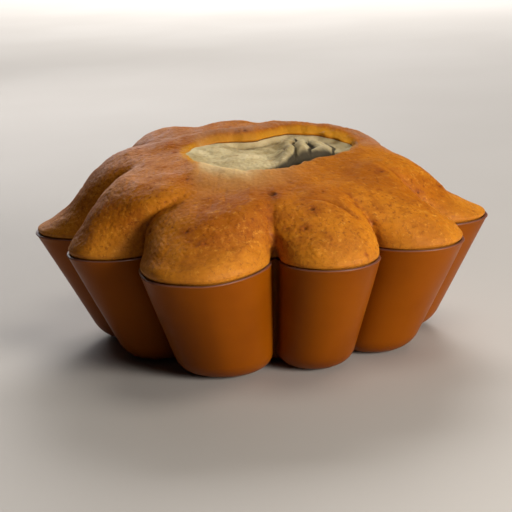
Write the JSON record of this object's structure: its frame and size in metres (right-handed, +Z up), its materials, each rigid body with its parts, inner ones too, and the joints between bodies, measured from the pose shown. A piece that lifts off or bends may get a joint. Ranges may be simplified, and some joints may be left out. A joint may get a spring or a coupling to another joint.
{
  "type": "fluted bundt pan with cake",
  "caption": "Flower-shaped silicone bundt pan with round flutes and a centre tube, and the risen cake baked in it, which lifts out.",
  "frame": {"origin": "on the pan's axis, on the plane that its pads stand on, which is the lowest plane of the part", "axes": "+Z up along the pan's axis, out of its mouth; a petal's middle lies on +X and on -X; a valley between two petals faces -Y, the usual front"},
  "size_m": [0.2192, 0.2108, 0.0985],
  "materials": {
    "terracotta_silicone": "satin",
    "browned_crust": "satin",
    "pale_crumb": "matte"
  },
  "bodies": {
    "pan": {"pan_shell": "terracotta_silicone"},
    "cake": {"cake_crust": "browned_crust", "cake_crumb": "pale_crumb"}
  },
  "joints": [
    {"name": "cake_lift", "type": "slide", "parent": "pan", "child": "cake", "axis": [0, 0, 1], "range_m": [0, 0.1]}
  ]
}
